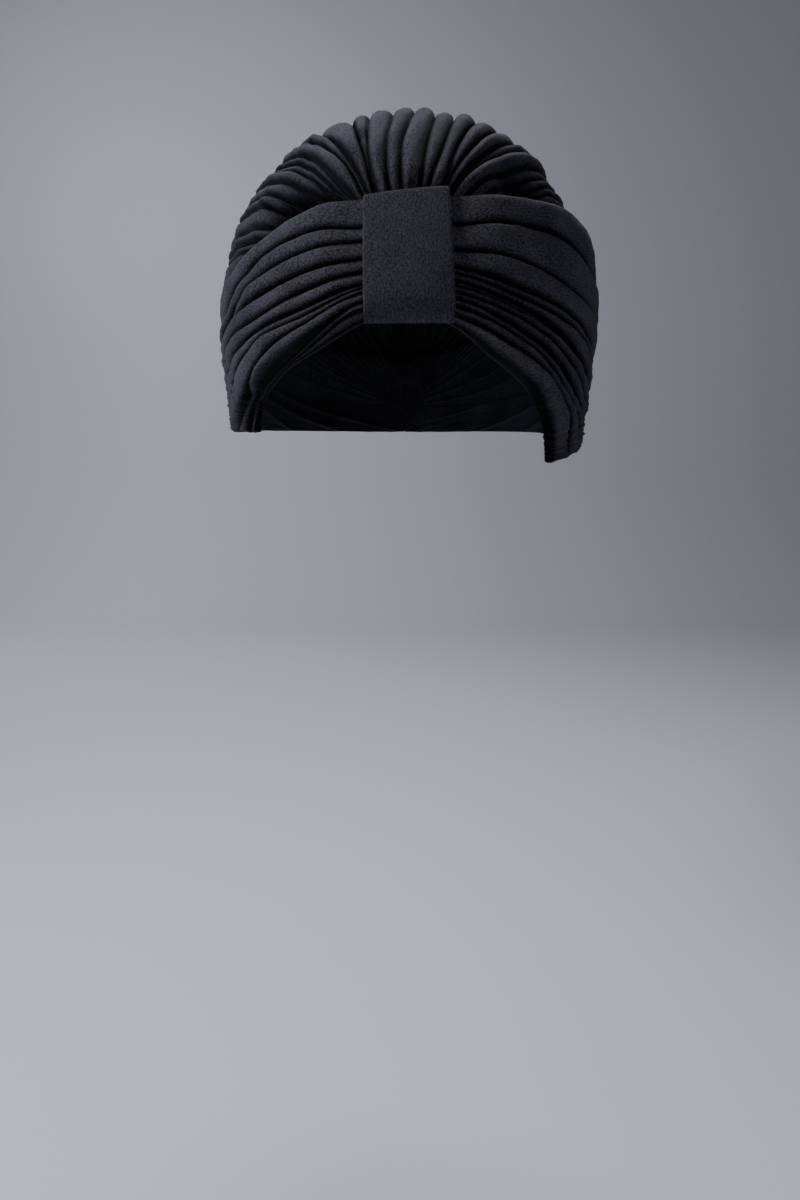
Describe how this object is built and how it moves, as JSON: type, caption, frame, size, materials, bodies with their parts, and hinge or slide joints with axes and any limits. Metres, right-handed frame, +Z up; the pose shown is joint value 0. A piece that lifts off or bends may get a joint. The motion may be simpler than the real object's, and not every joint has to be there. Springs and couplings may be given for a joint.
{
  "type": "turban headwrap",
  "caption": "Pre-tied turban headwrap in dark jersey: pleated crown, pleated wings round the sides and a plain centre band, shaped as worn and open below.",
  "frame": {"origin": "middle of the head opening, level with the tips of the ears, where the wrap sits on a head", "axes": "+Z up through the crown, the front with its centre band faces -Y, +Y is the head's length from the band to the nape, and +X is on the right when looking along +Y"},
  "size_m": [0.177, 0.2176, 0.1521],
  "materials": {
    "crown_jersey": "charcoal black brushed jersey, matt",
    "wing_jersey": "charcoal black brushed jersey, matt",
    "band_jersey": "charcoal black brushed jersey, matt with a fine fuzzy grain"
  },
  "bodies": {
    "root": {"crown": "crown_jersey", "wing_left": "wing_jersey", "wing_right": "wing_jersey", "centre_band": "band_jersey"}
  },
  "joints": []
}
